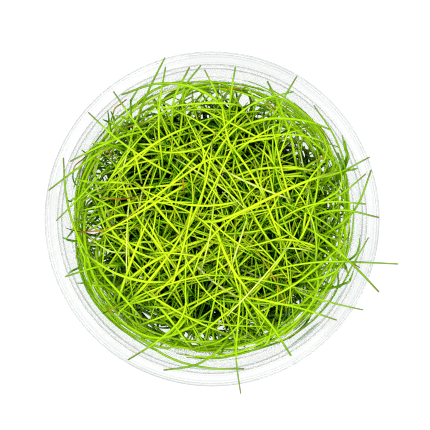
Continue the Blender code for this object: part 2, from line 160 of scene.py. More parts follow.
def divided(section, longest):
    """The section with points added evenly along its edges, so that no step exceeds the longest."""
    steps = np.linalg.norm(np.diff(section, axis=0), axis=1)
    counts = np.maximum(1, np.ceil(steps / longest)).astype(int)
    pieces = [np.linspace(a, b, n, endpoint=False) for a, b, n in zip(section, section[1:], counts)]
    return np.vstack(pieces + [section[-1:]])


def turned(section, turns):
    """Places of a turned surface: x is r cos a, y is r sin a and z is the section's height."""
    angles = np.linspace(0.0, math.tau, turns, endpoint=False)
    r, z = section[1:-1, 0, None], section[1:-1, 1, None]
    return np.stack([r * np.cos(angles), r * np.sin(angles), z + 0 * angles], axis=-1)


def closed_round(name, places, first, last):
    """A mesh from rows of places round the axis, closed at both ends in a point on it."""
    rows, turns = places.shape[:2]
    number = np.arange(rows * turns).reshape(rows, turns)
    beside = np.roll(number, -1, axis=1)
    quads = np.stack([number[:-1], number[1:], beside[1:], beside[:-1]], axis=-1).reshape(-1, 4)
    pole = rows * turns
    start = np.stack([np.full(turns, pole), number[0], beside[0]], axis=-1)
    end = np.stack([np.full(turns, pole + 1), beside[-1], number[-1]], axis=-1)
    mesh = bpy.data.meshes.new(name)
    points = np.vstack([places.reshape(-1, 3), first, last])
    mesh.from_pydata(points, [], quads.tolist() + start.tolist() + end.tolist())
    mesh.shade_smooth()
    made = bpy.data.objects.new(name, mesh)
    bpy.context.scene.collection.objects.link(made)
    return made


flange_top = CUP_HEIGHT - FLANGE_DROP
skirt_foot = flange_top - SKIRT_DEPTH
outer_mouth = MOUTH_RADIUS + WALL
outer_floor = FLOOR_RADIUS + WALL

# The corners of the cup's section, from the axis out over the floor, up, over the lip and back: the
# radius, the height, and the cut of the corner's easing.
cup_corners = np.array(
    (
        (0.0, FLOOR, 0.0),
        (FLOOR_RADIUS, FLOOR, INNER_HEEL),
        (MOUTH_RADIUS, CUP_HEIGHT, 0.15 * MM),
        (outer_mouth + BEAD_TOP, CUP_HEIGHT, 0.2 * MM),
        (outer_mouth + BEAD_WIDTH, CUP_HEIGHT - BEAD_DROP, 0.25 * MM),
        (LIP_RADIUS, flange_top, 0.6 * MM),
        (LIP_RADIUS, skirt_foot, 0.25 * MM),
        (LIP_RADIUS - WALL, skirt_foot, 0.25 * MM),
        (LIP_RADIUS - WALL, flange_top - WALL, 0.4 * MM),
        (outer_mouth, flange_top - WALL, 0.3 * MM),
        (outer_floor, 0.0, OUTER_HEEL),
        (0.0, 0.0, 0.0),
    )
)
cup_section = divided(eased(cup_corners[:, :2], cup_corners[1:-1, 2]), LONGEST_STEP)
cup = closed_round("clear_cup", turned(cup_section, CUP_TURNS), (0, 0, FLOOR), (0, 0, 0))

clear = Finish("clear_plastic")

# The streaks are noise over reach and height alone, so they run round the cup.
where = clear.node("ShaderNodeTexCoord", out="Object")
across = clear.node("ShaderNodeVectorMath", {"operation": "MULTIPLY"}, {0: where, 1: (1, 1, 0)})
reach = clear.node("ShaderNodeVectorMath", {"operation": "LENGTH"}, {0: across}, out="Value")
height = clear.node("ShaderNodeSeparateXYZ", None, {0: where}, out="Z")
rings = clear.node("ShaderNodeCombineXYZ", None, {0: reach * 900.0, 1: height * 500.0})
streaks = clear.node("ShaderNodeTexNoise", None, {"Vector": rings, "Scale": 1.0, "Detail": 2.0})
on_flange = clear.ramped(reach, *FLANGE_STARTS)
at_lip = clear.ramped(reach, *LIP_STARTS)
haze = clear.node("ShaderNodeTexNoise", None, {"Vector": where, "Scale": 90.0, "Detail": 3.0})
raised = streaks * on_flange * (1.0 - at_lip)
relief = {"Height": raised, "Strength": 0.1, "Distance": 0.05 * MM}
waves = clear.node("ShaderNodeBump", None, relief)
tint = clear.mixed(haze, *CLEAR_TINTS)
# Painted shade: the streaky flange, the line round the mouth and the lip are painted grey, standing
# in for the darker look of the clear plastic's refracting edges.
streaked_shade = on_flange * (clear.ramped(streaks, 0.4, 0.65) * 0.6 + 0.4)
tint = clear.mixed(streaked_shade, tint, FLANGE_SHADE_GREY)
mouth_line_shade = clear.ramped(reach, *MOUTH_STARTS) * (1.0 - clear.ramped(reach, *MOUTH_ENDS))
mouth_line_shade = mouth_line_shade * clear.ramped(height, *MOUTH_HEIGHTS)
tint = clear.mixed(mouth_line_shade, tint, MOUTH_SHADE_GREY)
tint = clear.mixed(at_lip, tint, LIP_SHADE_GREY)
cup.data.materials.append(
    clear.surface(
        Base_Color=tint,
        Roughness=haze * 0.05 + 0.02,
        Normal=waves,
        IOR=PLASTIC_IOR,
        Transmission_Weight=1.0,
    )
)
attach(cup, "root")
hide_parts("cup")

# Nutrient gel: a clear, faintly milky jelly, poured hot into the cup, where it sets with a raised
# rim and shrinks a hair off the wall. It carries the plants.
GEL_TOP = 10.0 * MM
GEL_RIM = 0.9 * MM
GEL_RIM_WIDTH = 1.3 * MM
GEL_GAP = 0.08 * MM
GEL_EDGE = 4 * MM
GEL_RINGS = 60
GEL_TURNS = 160
GEL_IOR = 1.335
GEL_TINTS = ((0.96, 0.975, 0.95, 1.0), (0.99, 0.995, 0.985, 1.0))


def wall_radius(z):
    """The cup's inside radius at a height: a straight draft from the floor to the mouth."""
    return FLOOR_RADIUS + (MOUTH_RADIUS - FLOOR_RADIUS) * np.minimum(z, CUP_HEIGHT) / CUP_HEIGHT


def swells(x, y):
    """The slight swells of the gel's top, places and heights in millimetres: a sine across times a
    cosine along, and a finer sine aslant."""
    return 0.12 * np.sin(x * 0.31 + 1.0) * np.cos(y * 0.27) + 0.07 * np.sin(x * 0.8 - y * 0.6)


# The gel's top rises to its rim as an exponential of the distance from the wall.
gel_wall = wall_radius(GEL_TOP) - GEL_GAP
gel_top = np.linspace(0.0, gel_wall, GEL_RINGS)
gel_rise = GEL_TOP + GEL_RIM * np.exp((gel_top - gel_wall) / GEL_RIM_WIDTH)
gel_side = ((FLOOR_RADIUS - GEL_GAP, FLOOR + GEL_GAP), (0.0, FLOOR + GEL_GAP))
gel_foot = divided(eased(((gel_wall, GEL_TOP + GEL_RIM), *gel_side), [INNER_HEEL]), LONGEST_STEP)
gel_section = np.vstack([np.stack([gel_top, gel_rise], axis=1), gel_foot[1:]])
gel_places = turned(gel_section, GEL_TURNS)
gel_x, gel_y = gel_places[..., 0] * 1000, gel_places[..., 1] * 1000
inner = np.clip((gel_wall - np.hypot(gel_x, gel_y) / 1000) / GEL_EDGE, 0, 1)
gel_places[..., 2] += swells(gel_x, gel_y) * MM * inner * (gel_places[..., 2] > GEL_TOP / 2)
gel = closed_round("set_gel", gel_places, (0, 0, GEL_TOP), (0, 0, FLOOR + GEL_GAP))

jelly = Finish("clear_gel")
where = jelly.node("ShaderNodeTexCoord", out="Object")
cloud = jelly.node("ShaderNodeTexNoise", None, {"Vector": where, "Scale": 120.0, "Detail": 4.0})
ripple = jelly.node("ShaderNodeTexNoise", None, {"Vector": where, "Scale": 420.0, "Detail": 2.0})
relief = {"Height": ripple, "Strength": 0.25, "Distance": 0.2 * MM}
dimples = jelly.node("ShaderNodeBump", None, relief)
gel.data.materials.append(
    jelly.surface(
        Base_Color=jelly.mixed(cloud, *GEL_TINTS),
        Roughness=cloud * 0.15 + 0.05,
        Normal=dimples,
        IOR=GEL_IOR,
        Transmission_Weight=0.95,
    )
)
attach(gel, "root")
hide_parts("nutrient_gel")

# Tufts: each is one plant, a small crown that stands in the gel with its thin, round, solid culms.
# They rise to where the lid was, bend over, and run on across the cup, along its wall or over it.
CROWN_TOP = GEL_TOP + 1.5 * MM
CROWN_FOOT = GEL_TOP - 1.9 * MM
STATIONS = 24
SIDES = 6
ASLANT = (0.3, 0.8, 0.52)
SEED = 20
TIP_NEAR = 1.2
rng = np.random.default_rng(SEED)

# Tips of the culms that stand out in the photograph, in millimetres from the cup's axis.
PALE_TIPS = (
    (-3.2, -15), (-23, -17.2), (-34.6, -3.6), (4, -16.4), (4, -26), (-9, 32), (10.5, 1), (22, 5),
    (-22, 20.6),
)
THICK_TIPS = ((32.7, 12.6), (11, -21), (-25.2, -18.5), (-17, -22), (-7, -6))

# Dead culms, straw to brown, from where each leaves the tangle to its tip, in millimetres.
DRY_ROUTES = (
    ((-22, -1), (-25.5, -1.8), (-29.2, -3), (-34.6, -3.5), (-37.3, -3.1), (-39.2, -2.4)),
    ((-26.3, 28.9), (-24.4, 30.8), (-22.8, 32.1)),
    ((-37, 13.5), (-35.1, 15.8), (-33.8, 16.9)),
    ((-28.7, 18.5), (-27.4, 17.6), (-26.3, 16.3)),
    ((-7.8, 10.4), (-7.6, 8), (-7.5, 5.9)),
    ((15, 30.8), (16.4, 29.9), (17.7, 28.6)),
    ((-28.7, 5.6), (-23.6, 5.4), (-18.8, 6.7)),
    ((4, 34.6), (6.6, 34.9), (9, 34.4)),
    ((-26.7, -24.1), (-28, -24.8), (-29.3, -25.3)),
    ((37.1, -11.5), (38.4, -12.3), (39.6, -13.1)),
)

# Short green culms that lean out on the wall, given in the same way.
SHORT_ROUTES = (
    ((-27.5, 23.4), (-27.7, 26.2), (-27.9, 28.9)),
    ((-26.3, 25.3), (-26.4, 27.1), (-27.1, 28.8)),
    ((-23.9, 27.3), (-24.9, 27.5), (-26, 27.8)),
    ((-26.6, 25.6), (-27.9, 26.1), (-29.2, 26.6)),
    ((-21.9, 30.8), (-21.3, 32.4), (-19.7, 34.9)),
    ((-28.4, 20.3), (-30.3, 20.3), (-32.2, 20.3)),
    ((-32.5, 16.7), (-33.6, 17.5), (-34.9, 18.4)),
    ((-32.9, 9.9), (-35.2, 10.3), (-36.8, 10.9)),
    ((-36.7, 5.6), (-38, 4.7), (-39, 5.2)),
    ((-37, -2.3), (-37.7, -3.5), (-38.9, -5.1)),
    ((-38, -5.8), (-38.9, -5.4), (-40, -5)),
    ((-35.2, -12.9), (-37.6, -14), (-38.4, -14.6)),
    ((-31.1, -18), (-32.8, -17.3), (-36, -17.2)),
    ((35.9, 16.3), (35.5, 19.2), (34.8, 22.5)),
    ((36.3, 15.8), (36, 18.5), (35.5, 20.9)),
    ((36.4, 13), (37.7, 13.2), (39, 13.6)),
    ((32.7, 12.3), (33.6, 14), (35.2, 16.7)),
    ((37.8, -10.2), (39.3, -7.4), (39.5, -5.1)),
    ((35.5, -12.2), (36, -13.7), (36.6, -15.3)),
    ((35.8, -17.2), (37.1, -15.9), (37.8, -14)),
)

# The heights of these two kinds inside the cup and over its rim, the reach from which they are over
# it, and how far back from its route a culm rises: by a length, and by shares of the first place.
ROUTE_HEIGHT = 42.5 * MM
OVER_RIM_HEIGHT = 47.2 * MM
OVER_RIM_REACH = 38.5 * MM
ROUTE_BACK = 4.5 * MM
ROUTE_BACK_SHARES = (0.09, 0.09, 0.3)
DEAD_RADIUS = 0.2
SHORT_RADIUS = 0.3

# How culms grow: the turn to the side and the droop, in radians a metre, and how hard and from how
# far off the ceiling and the limit turn them. A culm slides the way it already goes, if it clearly
# goes one way.
GROWTH_STEPS = 72
FEWEST_STEPS = 12
ROOT_SPREAD = 0.5 * MM
ROOT_BELOW = 0.6 * MM
SIDE_TURN = 19.0
MOST_DROOP = 7.0
CEILING_BAND = 12 * MM
CEILING_MOST = 1.4
CEILING_TURN = 160
LIMIT_BAND = 6 * MM
LIMIT_MOST = 1.5
END_TURN = 60
WALL_TURN = 420
SLIDE = 0.6
SLIDE_OWN_WAY = 0.15
OFF_WALL = 0.5 * MM
OVER_RIM_SPARE = 3 * MM
OVER_RIM_FROM = 0.3 * MM
OVER_RIM_SPAN = 0.8 * MM

# The shape of a culm along its length: the share of its radius that is left at the tip, where it
# starts to narrow, and how much thicker it is at the foot and over what share that fades.
TIP_SHARE = 0.45
LEADER_TIP_SHARE = 0.68
NARROWS_FROM = 0.6
FOOT_EXTRA = 0.25
FOOT_FADE = 0.06

# The culms that follow the locks, the free ones and the low ones, each from least to most: radii,
# lengths and ceilings in millimetres, leans in radians, and limits in millimetres from the axis.
# The tones of the free ones follow a beta curve, and a low ceiling keeps their limits narrower.
LEADER_RADII = (0.26, 0.37)
LEADER_TONES = (0.4, 0.9)
THICK_RADIUS = 0.40
THICK_LIGHTER = 0.3
PALE_THINNER = 0.06
FREE_LENGTHS = (24, 66)
FREE_LEANS = (0.05, 0.65)
FREE_CEILINGS = (18, 42)
FREE_LIMITS = (28, 37)
FREE_TONE_BETA = (1.4, 1.7)
WALL_LIMIT = 37.6
LIMIT_FROM = 30 * MM
LIMIT_WIDENS = 0.2
LOW_LENGTHS = (10, 26)
LOW_LEANS = (0.2, 1.1)
LOW_CEILINGS = (14, 28)
LOW_LIMITS = (26, 34)
LOW_BEYOND_CROWN = 2.5 * MM
LOW_RADII = (0.24, 0.4)

# What differs between the tufts near the wall and the others: how many free and low culms, the most
# common ceiling, the share that ends short of the wall, the radii, and the low ones' lightest tone,
# which carries painted light: high near the wall, as if lit from the sides, and low in the middle,
# as painted shade of the depths.
WALL_TUFT_FROM = 22 * MM
NEAR_WALL = dict(free=36, low=34, ceiling=35, ending=0.58, radii=(0.25, 0.38), tone=0.8)
FAR_OFF = dict(free=28, low=52, ceiling=31, ending=0.85, radii=(0.22, 0.34), tone=0.2)

# What share of the culms is pale or dry, and how much so, from least to most. The culms on routes
# have one tone, and the crown's stem has marks of its own and radii at four places along it.
PALE_SHARE = 0.03
PALE_AMOUNTS = (0.3, 0.8)
PALE_LEADER = 0.6
DRY_SHARE = 0.015
DRY_AMOUNTS = (0.4, 0.8)
LOW_DRY_SHARE = 0.1
LOW_DRY_AMOUNTS = (0.5, 1.0)
ROUTED_TONE = 0.4
STEM_MARKS = {"tone": 0.1, "pale": 0.2, "dry": 0.3}
STEM_PLACES = (0, 0.3, 0.8, 1)
STEM_RADII = (0.8, 1.2, 1.2, 0.7)

# The greens of the culms from painted shade to painted highlight, in the middle and near the wall,
# where they are olive with painted light from the sides lifting their shade, the straw of the dead
# ones from foot to tip, the yellow of the pale ones, and the brown of dried tips.
SHADED_TO_LIT_GREENS = (
    (0.0, (0.001, 0.012, 0.001)),
    (0.25, (0.005, 0.060, 0.001)),
    (0.5, (0.038, 0.245, 0.002)),
    (0.75, (0.235, 0.610, 0.004)),
    (1.0, (0.750, 0.960, 0.014)),
)
SIDE_LIT_OLIVES = ((0.050, 0.230, 0.001, 1.0), (0.430, 0.760, 0.004, 1.0))
STRAWS = ((0.2, (0.62, 0.54, 0.05)), (0.6, (0.50, 0.22, 0.02)), (0.9, (0.10, 0.035, 0.012)))
PALE_YELLOW = (0.95, 0.94, 0.32, 1.0)
TIP_BROWN = (0.16, 0.17, 0.03, 1.0)

# Where a culm turns lighter by height, mostly painted shade of the depths and in part the darker
# green of older low culms, and by how much it faces up, a painted highlight from above, where it
# turns olive with painted light from the sides and then darker by reach, and where along it a brown
# tip and the straw of a dry one start.
DEPTH_SHADE_HEIGHTS = (16 * MM, 44 * MM)
HIGHLIGHT_FACINGS = (0.2, 1.0)
SIDE_LIT_OLIVE_REACHES = (24 * MM, 34 * MM)
DARKER_REACHES = (35 * MM, 40 * MM)
BROWN_STARTS = (0.9, 0.99)
STRAW_STARTS = (0.4, 0.6)


def unit(vectors):
    """Vectors of length one."""
    return vectors / np.maximum(np.linalg.norm(vectors, axis=-1, keepdims=True), 1e-12)


def lock_lines(node):
    """The middle lines of a tuft's locks: from each tip's cap back, the mean of every ring of three
    corners, for as long as the corners next to a ring are again three."""
    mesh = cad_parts[node].data
    places = np.empty(len(mesh.vertices) * 3)
    mesh.vertices.foreach_get("co", places)
    corners = np.empty(len(mesh.polygons) * 3, int)
    mesh.polygons.foreach_get("vertices", corners)
    places, weld = np.unique(np.round(places.reshape(-1, 3), 7), axis=0, return_inverse=True)
    faces = weld.ravel()[corners].reshape(-1, 3).tolist()
    near = [set() for _ in places]
    for face in faces:
        for corner in face:
            near[corner].update(face)
    lines = []
    for face in faces:
        ring, passed, line = set(face), set(), []
        ahead = set().union(*(near[corner] for corner in ring)) - ring
        while len(ahead) == 3:
            line.append(places[list(ring)].mean(axis=0))
            ring, passed = ahead, ring
            ahead = set().union(*(near[corner] for corner in ring)) - ring - passed
        if len(line) > 2:
            lines.append(np.array([places[list(ring)].mean(axis=0)] + line[::-1]))
    return lines


def smooth(line, count):
    """A curve through the line's points: between two it is a cubic, whose slope at each point is
    half the step from the point before to the point after."""
    ends = np.vstack([2 * line[0] - line[1], line, 2 * line[-1] - line[-2]])
    place = np.linspace(0.0, len(line) - 1.0, count)
    start = np.minimum(place.astype(int), len(line) - 2)
    share = (place - start)[:, None]
    a, b, c, d = (ends[start + shift] for shift in range(4))
    slope_b, slope_c = (c - a) / 2, (d - b) / 2
    return (
        (2 * share**3 - 3 * share**2 + 1) * b
        + (share**3 - 2 * share**2 + share) * slope_b
        + (3 * share**2 - 2 * share**3) * c
        + (share**3 - share**2) * slope_c
    )


def grown(crown, lengths, ceilings, leans, limits, ending):
    """Culms stepped along together. At each step the heading turns a little to its own side. Its
    rise is cut by the square of how far it is into the band under its own ceiling. The square of
    how far it is into the band before its own limit turns it back and round, or there it ends."""
    count = len(lengths)
    azimuth = rng.uniform(-math.pi, math.pi, count)
    heading = np.stack(
        [np.cos(azimuth) * np.sin(leans), np.sin(azimuth) * np.sin(leans), np.cos(leans)], axis=1
    )
    root_x = crown[0] + rng.normal(0, ROOT_SPREAD, count)
    root_y = crown[1] + rng.normal(0, ROOT_SPREAD, count)
    place = np.column_stack([root_x, root_y, np.full(count, CROWN_TOP - ROOT_BELOW)])
    bend = rng.normal(0.0, SIDE_TURN, count)
    droop = rng.uniform(0.0, MOST_DROOP, count)
    turn_sign = np.where(rng.random(count) < 0.5, -1.0, 1.0)
    step = (lengths / GROWTH_STEPS)[:, None]
    places = [place]
    for _ in range(GROWTH_STEPS):
        side = unit(np.column_stack([-heading[:, 1], heading[:, 0], np.zeros(count)]))
        heading = unit(heading + side * (bend[:, None] * step))
        high = np.clip((place[:, 2] - ceilings + CEILING_BAND) / CEILING_BAND, 0, CEILING_MOST)
        sink = high**2 * np.maximum(heading[:, 2], 0) * CEILING_TURN * step[:, 0]
        heading[:, 2] -= sink + droop * step[:, 0]
        out = unit(place * (1, 1, 0))
        reached = np.hypot(place[:, 0], place[:, 1])
        close = np.clip((reached - limits + LIMIT_BAND) / LIMIT_BAND, 0, LIMIT_MOST)
        outward = np.maximum((heading * out).sum(axis=1), 0)
        tangent = np.column_stack([-out[:, 1], out[:, 0], np.zeros(count)])
        along = (heading * tangent).sum(axis=1)
        sign = np.where(np.abs(along) > SLIDE_OWN_WAY, np.sign(along), turn_sign)
        push = (close**2 * outward * np.where(ending, END_TURN, WALL_TURN) * step[:, 0])[:, None]
        heading = unit(heading - push * out + SLIDE * push * tangent * sign[:, None])
        place = place + heading * step
        place[:, 2] = np.maximum(place[:, 2], GEL_TOP + ROOT_BELOW)
        places.append(place)
    places = np.stack(places, axis=1)
    beyond = (np.hypot(places[..., 0], places[..., 1]) > limits[:, None]) & ending[:, None]
    first_beyond = np.maximum(beyond.argmax(axis=1), FEWEST_STEPS)
    last = np.where(beyond.any(axis=1), first_beyond, GROWTH_STEPS)
    at = np.linspace(0.0, 1.0, STATIONS) * last[:, None]
    before = np.minimum(at.astype(int), GROWTH_STEPS - 1)
    each = np.arange(count)[:, None]
    share = (at - before)[..., None]
    return within_cup(places[each, before] * (1 - share) + places[each, before + 1] * share)


def within_cup(lines):
    """The lines with every point drawn in towards the axis to half a millimetre off the cup's wall.
    Over the rim, they may reach further out."""
    reach = np.maximum(np.hypot(lines[..., 0], lines[..., 1]), MM)
    over = np.clip((lines[..., 2] - CUP_HEIGHT - OVER_RIM_FROM) / OVER_RIM_SPAN, 0, 1)
    most = wall_radius(lines[..., 2]) - OFF_WALL + OVER_RIM_SPARE * over
    lines[..., :2] *= np.minimum(1.0, most / reach)[..., None]
    return lines


def tubes(name, lines, radii, marks):
    """Closed tubes: each point is the line's place plus the radius times the cosine of the angle
    along one normal and its sine along the other. The normals are carried along each line, and both
    ends come to a point. UV runs round and along, and marks are numbers that each tube carries."""
    count, stations = lines.shape[:2]
    along = unit(np.gradient(lines, axis=1))
    normal = [unit(np.cross(along[:, 0], ASLANT))]
    for station in range(1, stations):
        last = normal[-1]
        ahead = along[:, station]
        normal.append(unit(last - (last * ahead).sum(axis=1, keepdims=True) * ahead))
    normal = np.stack(normal, axis=1)
    across = np.cross(along, normal)
    angle = np.linspace(0.0, math.tau, SIDES, endpoint=False)[:, None]
    round_it = np.cos(angle) * normal[:, :, None] + np.sin(angle) * across[:, :, None]
    rings = lines[:, :, None] + radii[:, :, None, None] * round_it
    base = lines[:, :1] - along[:, :1] * radii[:, :1, None]
    tip = lines[:, -1:] + along[:, -1:] * radii[:, -1:, None]
    points = np.concatenate([rings.reshape(count, -1, 3), base, tip], axis=1)
    each = points.shape[1]
    number = np.arange(stations * SIDES).reshape(stations, SIDES)
    beside = np.roll(number, -1, axis=1)
    quads = np.stack([number[:-1], beside[:-1], beside[1:], number[1:]], axis=-1).reshape(-1, 4)
    foot = np.stack([beside[0], number[0], np.full(SIDES, each - 2)], axis=-1)
    head = np.stack([number[-1], beside[-1], np.full(SIDES, each - 1)], axis=-1)
    corner = np.concatenate([quads.ravel(), foot.ravel(), head.ravel()])
    u = np.arange(SIDES) / SIDES
    v = np.arange(stations) / (stations - 1)
    u_quad = np.stack([u, u + 1 / SIDES, u + 1 / SIDES, u], axis=-1)
    u_quad = np.broadcast_to(u_quad, (stations - 1, SIDES, 4))
    v_quad = np.stack([v[:-1], v[:-1], v[1:], v[1:]], axis=-1)
    v_quad = np.broadcast_to(v_quad[:, None], (stations - 1, SIDES, 4))
    end_u = np.stack([u, u + 1 / SIDES, u + 0.5 / SIDES], axis=-1).ravel()
    all_u = np.concatenate([u_quad.ravel(), end_u, end_u])
    all_v = np.concatenate([v_quad.ravel(), np.zeros(3 * SIDES), np.ones(3 * SIDES)])
    sizes = np.concatenate([np.full(len(quads), 4), np.full(2 * SIDES, 3)])

    mesh = bpy.data.meshes.new(name)
    mesh.vertices.add(count * each)
    mesh.vertices.foreach_set("co", points.ravel())
    loops = (corner[None] + np.arange(count)[:, None] * each).ravel()
    mesh.loops.add(len(loops))
    mesh.loops.foreach_set("vertex_index", loops)
    all_sizes = np.tile(sizes, count)
    mesh.polygons.add(len(all_sizes))
    mesh.polygons.foreach_set("loop_start", np.concatenate([[0], np.cumsum(all_sizes)[:-1]]))
    uv = mesh.uv_layers.new(name="culm")
    uv.data.foreach_set("uv", np.tile(np.stack([all_u, all_v], axis=-1).ravel(), count))
    for key, values in marks.items():
        mark = mesh.attributes.new(key, "FLOAT", "POINT")
        mark.data.foreach_set("value", np.repeat(values, each))
    mesh.update(calc_edges=True)
    mesh.shade_smooth()
    made = bpy.data.objects.new(name, mesh)
    bpy.context.scene.collection.objects.link(made)
    return made


def tapered(radii, tip=TIP_SHARE):
    """Each tube's radius along it: more at the foot by an exponential that fades fast, and less by
    a square from where it starts to narrow, down to the tip's share."""
    share = np.linspace(0.0, 1.0, STATIONS)[None]
    last_part = np.clip((share - NARROWS_FROM) / (1.0 - NARROWS_FROM), 0, 1)
    narrowing = 1.0 - (1.0 - tip) * last_part**2
    swelling = 1.0 + FOOT_EXTRA * np.exp(-share / FOOT_FADE)
    return radii[:, None] * narrowing * swelling


def is_one_of(tips, place):
    """Whether a place is near one of the tips, seen from above."""
    return any(math.hypot(place[0] / MM - x, place[1] / MM - y) < TIP_NEAR for x, y in tips)


culm = Finish("culm_green")
where = culm.node("ShaderNodeTexCoord", out="Object")
height = culm.node("ShaderNodeSeparateXYZ", None, {0: where}, out="Z")
across = culm.node("ShaderNodeVectorMath", {"operation": "MULTIPLY"}, {0: where, 1: (1, 1, 0)})
reach = culm.node("ShaderNodeVectorMath", {"operation": "LENGTH"}, {0: across}, out="Value")
round_along = culm.node("ShaderNodeUVMap", {"uv_map": "culm"})
along = culm.node("ShaderNodeSeparateXYZ", None, {0: round_along}, out="Y")
tone = culm.node("ShaderNodeAttribute", {"attribute_name": "tone"}, out="Fac")
pale = culm.node("ShaderNodeAttribute", {"attribute_name": "pale"}, out="Fac")
dry = culm.node("ShaderNodeAttribute", {"attribute_name": "dry"}, out="Fac")
own = culm.node("ShaderNodeCombineXYZ", None, {0: along * 2.5, 1: tone * 40.0, 2: height * 20.0})
drift = culm.node("ShaderNodeTexNoise", None, {"Vector": own, "Scale": 1.0, "Detail": 2.0})
finer = {0: round_along, 1: (9.0, 5.0, 1.0)}
finer = culm.node("ShaderNodeVectorMath", {"operation": "MULTIPLY"}, finer)
veins = culm.node("ShaderNodeTexNoise", None, {"Vector": finer, "Scale": 1.0, "Detail": 3.0})
mottle = culm.node("ShaderNodeTexNoise", None, {"Vector": where, "Scale": 160.0, "Detail": 3.0})
facing = culm.node("ShaderNodeNewGeometry", out="Normal")
up = culm.node("ShaderNodeSeparateXYZ", None, {0: facing}, out="Z")

# The culms are lighter the higher they are, mostly painted shade of the depths and in part the
# darker green of older low culms, and the more they face up, a painted highlight from above, each
# in its own tone. Towards the wall they turn olive, with painted light from the sides lifting their
# shade, and then darker by reach; some turn brown at the tip, and dry ones turn to straw from the
# middle.
light = culm.ramped(height, *DEPTH_SHADE_HEIGHTS) * 0.85 + tone * 0.55
light = light + culm.ramped(up, *HIGHLIGHT_FACINGS) * 0.52
light = light + drift * 0.3 + veins * 0.1 + mottle * 0.1 - 0.74
green = culm.node("ShaderNodeValToRGB", {"stops": SHADED_TO_LIT_GREENS}, {"Fac": light})
# Painted light from the sides: towards the wall the shade is lifted to olive; further out it is
# darker by reach.
edge_light = light - culm.ramped(reach, *DARKER_REACHES) * 0.7
olive = culm.mixed(edge_light, *SIDE_LIT_OLIVES)
green = culm.mixed(culm.ramped(reach, *SIDE_LIT_OLIVE_REACHES), green, olive)
straw = culm.node("ShaderNodeValToRGB", {"stops": STRAWS}, {"Fac": along + mottle * 0.3 - 0.15})
brown_share = culm.ramped(along, *BROWN_STARTS) * culm.ramped(tone, 0.35, 0.65) * 0.75
colour = culm.mixed(pale * culm.ramped(drift, 0.3, 0.55), green, PALE_YELLOW)
colour = culm.mixed(brown_share, colour, TIP_BROWN)
colour = culm.mixed(dry * culm.ramped(along, *STRAW_STARTS), colour, straw)
relief = {"Height": veins, "Strength": 0.3, "Distance": 0.05 * MM}
ribs = culm.node("ShaderNodeBump", None, relief)
culm_material = culm.surface(
    Base_Color=colour,
    Roughness=veins * 0.2 + 0.4,
    Normal=ribs,
    Specular_IOR_Level=0.06,
)

tufts = sorted(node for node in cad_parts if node.startswith("tuft"))
locks = {node: lock_lines(node) for node in tufts}
crowns = {node: np.mean([line[0] for line in lines], axis=0) for node, lines in locks.items()}

# Each route goes to the nearest tuft: a culm rises from its crown to a place a little back from the
# route and below it, and then follows it.
routed = {node: [] for node in tufts}
for route in DRY_ROUTES + SHORT_ROUTES:
    drawn = np.column_stack([np.array(route) * MM, np.full(len(route), ROUTE_HEIGHT)])
    drawn[np.hypot(drawn[:, 0], drawn[:, 1]) > OVER_RIM_REACH, 2] = OVER_RIM_HEIGHT
    back = drawn[0] - (*unit(drawn[1, :2] - drawn[0, :2]) * ROUTE_BACK, 0)
    back = back - drawn[0] * ROUTE_BACK_SHARES
    node = min(tufts, key=lambda name: np.hypot(*(crowns[name][:2] - back[:2])))
    line = smooth(np.vstack([crowns[node], back, drawn]), STATIONS)
    routed[node].append((line, float(route in DRY_ROUTES)))

